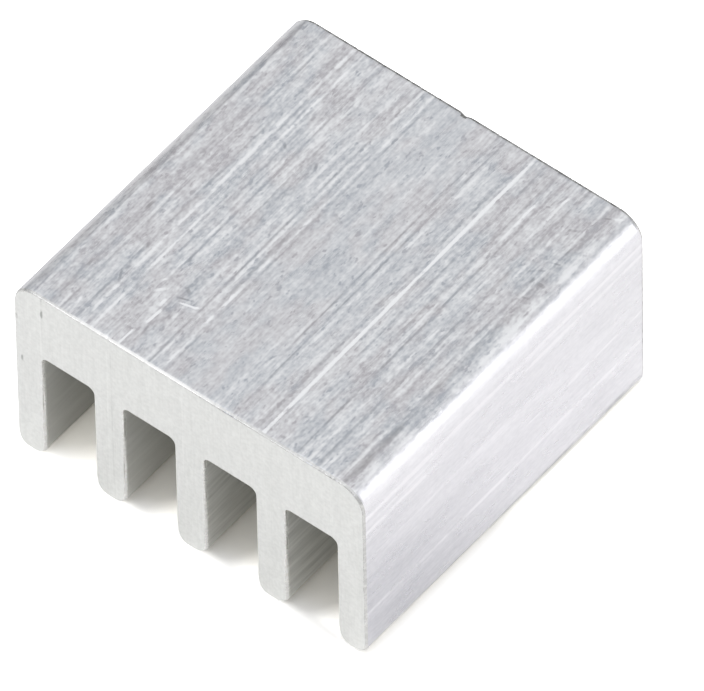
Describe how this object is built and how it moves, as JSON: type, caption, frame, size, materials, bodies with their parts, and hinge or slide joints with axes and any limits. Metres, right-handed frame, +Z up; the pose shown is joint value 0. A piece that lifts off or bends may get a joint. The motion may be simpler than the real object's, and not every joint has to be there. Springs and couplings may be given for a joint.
{
  "type": "extruded heat sink",
  "caption": "Small one-piece extruded aluminium heat sink: a thick base with a flat mounting face and straight parallel fins, resting on its fin tips.",
  "frame": {"origin": "centre of the footprint, on the surface that the fin tips rest on", "axes": "+Z up, out of the flat mounting face; Y along the extrusion and its channels; X across the fins"},
  "size_m": [0.0088, 0.0088, 0.005],
  "materials": {
    "aluminium": "plain mill-finish extrusion, with fine die lines along its length and matt sawn ends"
  },
  "bodies": {
    "root": {"heat_sink": "aluminium"}
  },
  "joints": []
}
